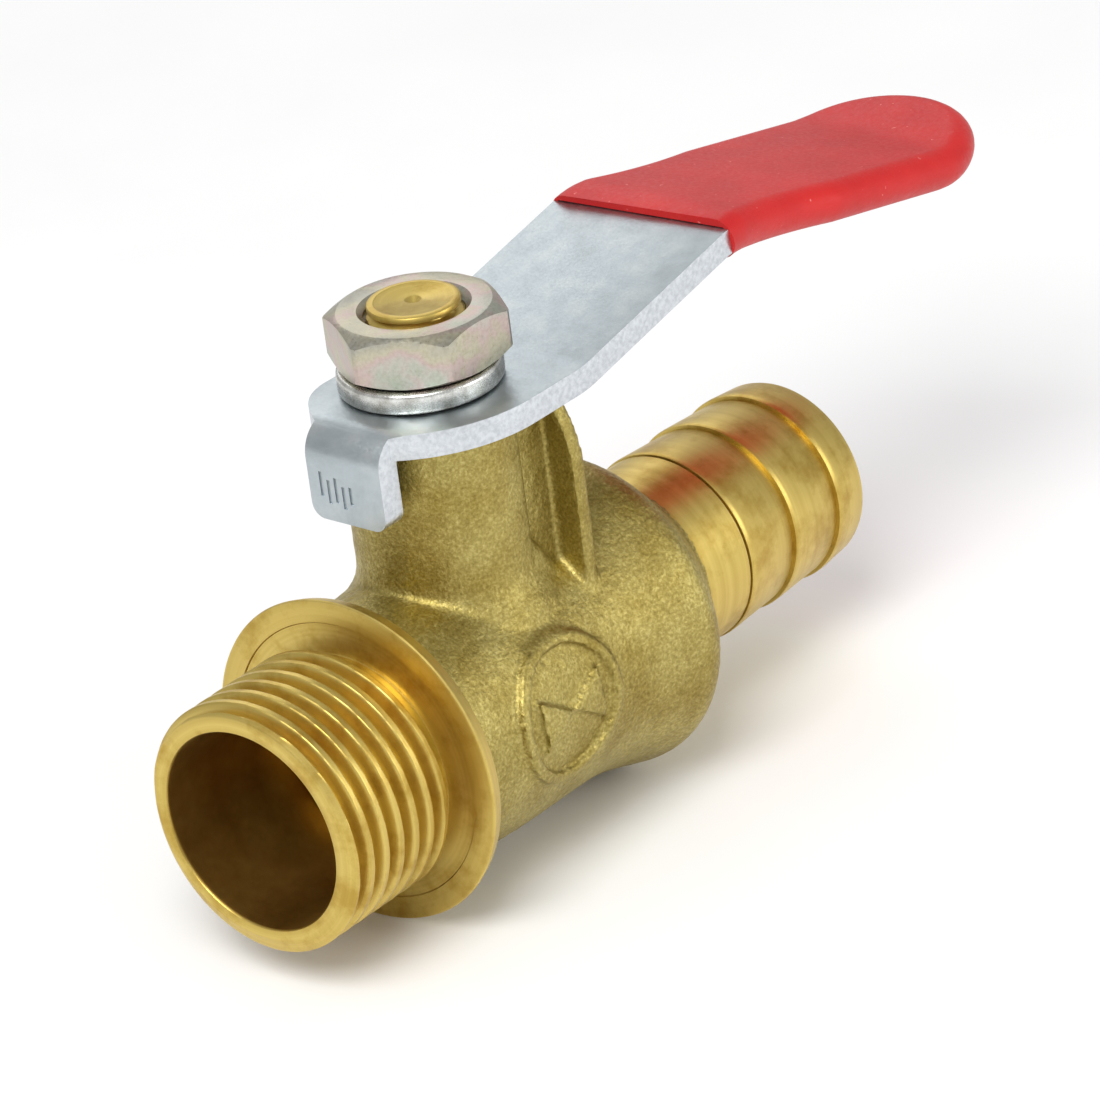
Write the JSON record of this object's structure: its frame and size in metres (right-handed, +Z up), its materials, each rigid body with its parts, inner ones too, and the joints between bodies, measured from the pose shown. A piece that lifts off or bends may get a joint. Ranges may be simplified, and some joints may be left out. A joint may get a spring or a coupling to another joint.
{
  "type": "lever ball valve with hose barb",
  "caption": "Small brass ball valve with a male pipe thread and flange at one end, a hose barb at the other, and a quarter-turn lever with a sleeve grip.",
  "frame": {"origin": "centre of the flange's sealing face, on the pipe axis", "axes": "+X along the pipe from the thread to the barb, +Z up along the stem, lever towards +X at rest (valve open)"},
  "size_m": [0.09, 0.0274, 0.0475],
  "materials": {
    "cast_brass": "grainy sand-cast skin with the ends machined bright",
    "turned_brass": "turned, fine tool marks",
    "chromed_brass": "polished hard chrome",
    "zinc_strip": "pressed strip, blue zinc plate, satin",
    "zinc_nut": "zinc plate with a faint rainbow passivation",
    "spring_steel": "bright zinc on coiled spring wire",
    "seat_plastic": "white fluoroplastic, waxy",
    "black_rubber": "moulded nitrile rubber",
    "red_vinyl": "dip-moulded vinyl, satin"
  },
  "bodies": {
    "body": {"valve_body": "cast_brass", "seat_retainer": "turned_brass", "inlet_seat": "seat_plastic", "outlet_seat": "seat_plastic", "gland_bush": "turned_brass"},
    "ball": {"ball": "chromed_brass"},
    "handle": {"stem": "turned_brass", "stem_thrust_washer": "seat_plastic", "stem_o_ring_lower": "black_rubber", "stem_o_ring_upper": "black_rubber", "lever": "zinc_strip", "lever_grip": "red_vinyl", "spring_washer": "spring_steel", "lever_nut": "zinc_nut"}
  },
  "joints": [
    {"name": "lever_turn", "type": "hinge", "parent": "body", "child": "handle", "pos_m": [0.014, 0, 0.0268], "axis": [0, 0, 1], "range_deg": [0, 90]},
    {"name": "ball_turn", "type": "hinge", "parent": "body", "child": "ball", "pos_m": [0.014, 0, 0], "axis": [0, 0, 1], "range_deg": [0, 90]}
  ],
  "couplings": [
    {"joint": "ball_turn", "follows": "lever_turn", "ratio": 1}
  ]
}
